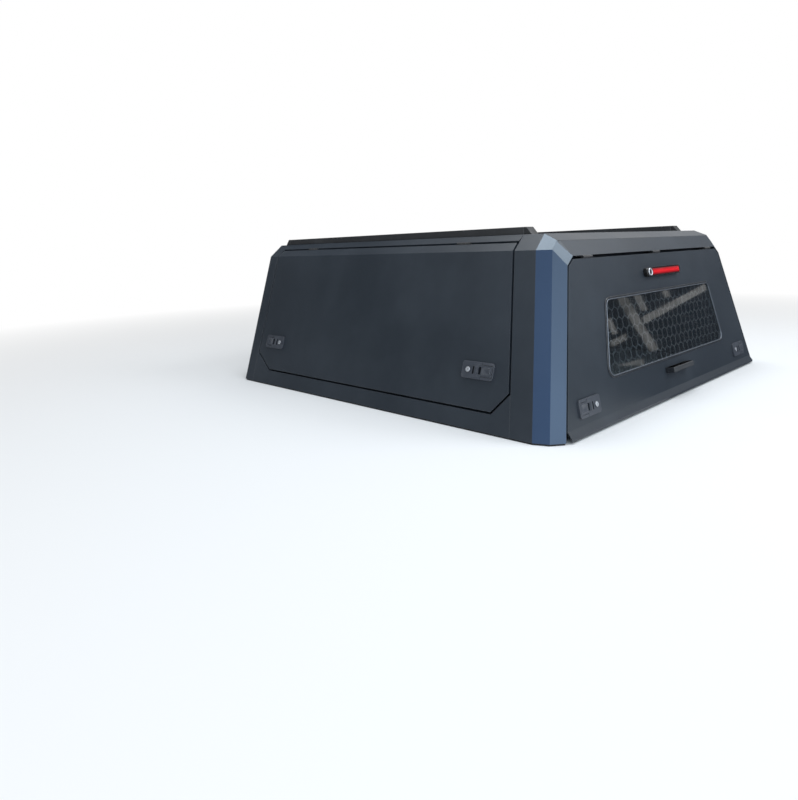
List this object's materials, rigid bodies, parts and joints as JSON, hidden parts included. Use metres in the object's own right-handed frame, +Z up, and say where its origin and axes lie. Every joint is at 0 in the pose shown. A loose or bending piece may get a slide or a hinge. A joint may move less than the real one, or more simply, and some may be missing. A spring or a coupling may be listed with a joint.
{
  "type": "pickup truck canopy",
  "caption": "Faceted sheet metal canopy for a pickup bed with top-hinged side doors, a glazed lift-up rear door, roof rails and paddle latches.",
  "frame": {"origin": "centre of the base, on the underside of the base gasket", "axes": "+X to the vehicle's right, +Y forward to the cab, +Z up; the rear door faces -Y"},
  "size_m": [1.68, 1.5896, 0.6116],
  "materials": {
    "black_paint": "satin powder coat",
    "corner_paint": "satin powder coat",
    "inner_paint": "matt powder coat",
    "seal_rubber": "matt",
    "window_glass": "tinted",
    "latch_plastic": "fine grain",
    "lock_metal": "polished",
    "hinge_metal": "satin",
    "lamp_black": "gloss",
    "lamp_red": "clear red",
    "rail_metal": "black anodised",
    "mesh_metal": "satin"
  },
  "bodies": {
    "canopy_shell": {"rear_corners": "corner_paint", "side_sills": "black_paint", "front_corners": "black_paint", "roof_panel": "black_paint", "rear_header": "black_paint", "front_wall": "black_paint", "front_window_glass": "window_glass", "front_window_trim": "seal_rubber", "base_gasket": "seal_rubber", "door_seals": "seal_rubber", "hinge_bodies": "hinge_metal", "roof_rails": "rail_metal", "rail_end_caps": "rail_metal"},
    "left_side_door": {"left_door_skin": "black_paint", "left_door_frame": "inner_paint", "left_door_latch_plates": "latch_plastic", "left_door_locks": "lock_metal", "left_hinge_leaves": "hinge_metal"},
    "right_side_door": {"right_door_skin": "black_paint", "right_door_frame": "inner_paint", "right_door_latch_plates": "latch_plastic", "right_door_locks": "lock_metal", "right_hinge_leaves": "hinge_metal"},
    "rear_lift_door": {"rear_door_skin": "black_paint", "rear_door_frame": "inner_paint", "rear_door_latch_plates": "latch_plastic", "rear_door_locks": "lock_metal", "rear_window_glass": "window_glass", "rear_window_trim": "seal_rubber", "rear_window_mesh": "mesh_metal", "brake_lamp_housing": "lamp_black", "brake_lamp_lens": "lamp_red", "lamp_eye_ring": "lock_metal", "lamp_eye": "lamp_black", "rear_pull_handle": "lamp_black", "rear_hinge_leaves": "hinge_metal"},
    "left_rear_paddle_body": {"left_rear_paddle": "latch_plastic"},
    "left_front_paddle_body": {"left_front_paddle": "latch_plastic"},
    "right_rear_paddle_body": {"right_rear_paddle": "latch_plastic"},
    "right_front_paddle_body": {"right_front_paddle": "latch_plastic"},
    "rear_door_left_paddle_body": {"rear_door_left_paddle": "latch_plastic"},
    "rear_door_right_paddle_body": {"rear_door_right_paddle": "latch_plastic"}
  },
  "joints": [
    {"name": "left_door_hinge", "type": "hinge", "parent": "canopy_shell", "child": "left_side_door", "pos_m": [-0.62338, 0, 0.565], "axis": [0, 1, 0], "range_deg": [0, 85]},
    {"name": "right_door_hinge", "type": "hinge", "parent": "canopy_shell", "child": "right_side_door", "pos_m": [0.62338, 0, 0.565], "axis": [0, -1, 0], "range_deg": [0, 85]},
    {"name": "rear_door_hinge", "type": "hinge", "parent": "canopy_shell", "child": "rear_lift_door", "pos_m": [0, -0.68741, 0.512], "axis": [-1, 0, 0], "range_deg": [0, 85]},
    {"name": "left_rear_paddle_pivot", "type": "hinge", "parent": "left_side_door", "child": "left_rear_paddle_body", "pos_m": [-0.78558, -0.53075, 0.17621], "axis": [0.3228, 0, 0.9465], "range_deg": [0, 35], "stiffness_Nm_per_rad": 0.3, "springref_deg": -17.19},
    {"name": "left_front_paddle_pivot", "type": "hinge", "parent": "left_side_door", "child": "left_front_paddle_body", "pos_m": [-0.78558, 0.65645, 0.17621], "axis": [-0.3228, 0, -0.9465], "range_deg": [0, 35], "stiffness_Nm_per_rad": 0.3, "springref_deg": -17.19},
    {"name": "right_rear_paddle_pivot", "type": "hinge", "parent": "right_side_door", "child": "right_rear_paddle_body", "pos_m": [0.78558, -0.53075, 0.17621], "axis": [0.3228, 0, -0.9465], "range_deg": [0, 35], "stiffness_Nm_per_rad": 0.3, "springref_deg": -17.19},
    {"name": "right_front_paddle_pivot", "type": "hinge", "parent": "right_side_door", "child": "right_front_paddle_body", "pos_m": [0.78558, 0.65645, 0.17621], "axis": [-0.3228, 0, 0.9465], "range_deg": [0, 35], "stiffness_Nm_per_rad": 0.3, "springref_deg": -17.19},
    {"name": "rear_left_paddle_pivot", "type": "hinge", "parent": "rear_lift_door", "child": "rear_door_left_paddle_body", "pos_m": [-0.68607, -0.76991, 0.07967], "axis": [0, -0.1791, -0.9838], "range_deg": [0, 35], "stiffness_Nm_per_rad": 0.3, "springref_deg": -17.19},
    {"name": "rear_right_paddle_pivot", "type": "hinge", "parent": "rear_lift_door", "child": "rear_door_right_paddle_body", "pos_m": [0.68607, -0.76991, 0.07967], "axis": [0, 0.1791, 0.9838], "range_deg": [0, 35], "stiffness_Nm_per_rad": 0.3, "springref_deg": -17.19}
  ]
}
